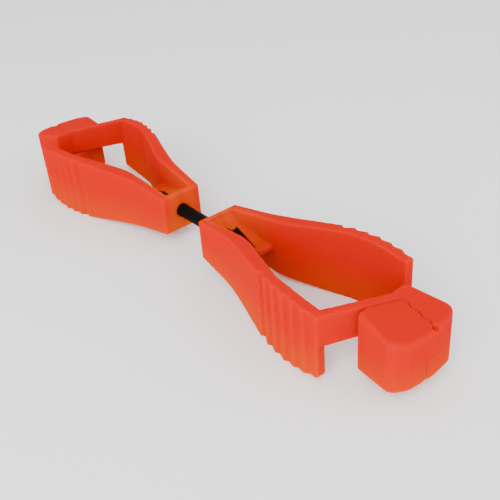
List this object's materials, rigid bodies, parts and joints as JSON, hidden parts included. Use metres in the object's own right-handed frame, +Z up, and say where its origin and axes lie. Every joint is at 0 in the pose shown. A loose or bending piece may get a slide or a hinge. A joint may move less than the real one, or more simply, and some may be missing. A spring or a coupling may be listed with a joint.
{
  "type": "double-ended glove clip",
  "caption": "Moulded plastic glove clip: a spring clip with crossing arms and interlocking jaws at each end of a short swivelling snap-in rod.",
  "frame": {"origin": "middle of the connector, which is the centre of the whole part", "axes": "+X along the connector towards clip_a, Y across the clips' loops, +Z up when the part lies on its strap edges"},
  "size_m": [0.16, 0.0322, 0.019],
  "materials": {
    "clip": "satin translucent orange moulding",
    "connector": "satin black moulding"
  },
  "bodies": {
    "connector": {"connector": "connector"},
    "clip_a": {"clip_a_base": "clip"},
    "clip_a_upper": {"clip_a_arm_upper": "clip"},
    "clip_a_lower": {"clip_a_arm_lower": "clip"},
    "clip_b": {"clip_b_base": "clip"},
    "clip_b_upper": {"clip_b_arm_upper": "clip"},
    "clip_b_lower": {"clip_b_arm_lower": "clip"}
  },
  "joints": [
    {"name": "clip_a_swivel", "type": "hinge", "parent": "connector", "child": "clip_a", "pos_m": [0.0082, 0, 0], "axis": [1, 0, 0], "continuous": true},
    {"name": "clip_a_squeeze", "type": "hinge", "parent": "clip_a", "child": "clip_a_upper", "pos_m": [0.026, -0.005, 0], "axis": [0, 0, 1], "range_deg": [0, 10], "stiffness_Nm_per_rad": 3.8},
    {"name": "clip_a_squeeze_lower", "type": "hinge", "parent": "clip_a", "child": "clip_a_lower", "pos_m": [0.026, 0.005, 0], "axis": [0, 0, -1], "range_deg": [0, 10], "stiffness_Nm_per_rad": 3.8},
    {"name": "clip_b_swivel", "type": "hinge", "parent": "connector", "child": "clip_b", "pos_m": [-0.0082, 0, 0], "axis": [-1, 0, 0], "continuous": true},
    {"name": "clip_b_squeeze", "type": "hinge", "parent": "clip_b", "child": "clip_b_upper", "pos_m": [-0.026, 0.005, 0], "axis": [0, 0, 1], "range_deg": [0, 10], "stiffness_Nm_per_rad": 3.8},
    {"name": "clip_b_squeeze_lower", "type": "hinge", "parent": "clip_b", "child": "clip_b_lower", "pos_m": [-0.026, -0.005, 0], "axis": [0, 0, -1], "range_deg": [0, 10], "stiffness_Nm_per_rad": 3.8}
  ],
  "couplings": [
    {"joint": "clip_a_squeeze_lower", "follows": "clip_a_squeeze", "ratio": 1},
    {"joint": "clip_b_squeeze_lower", "follows": "clip_b_squeeze", "ratio": 1}
  ]
}
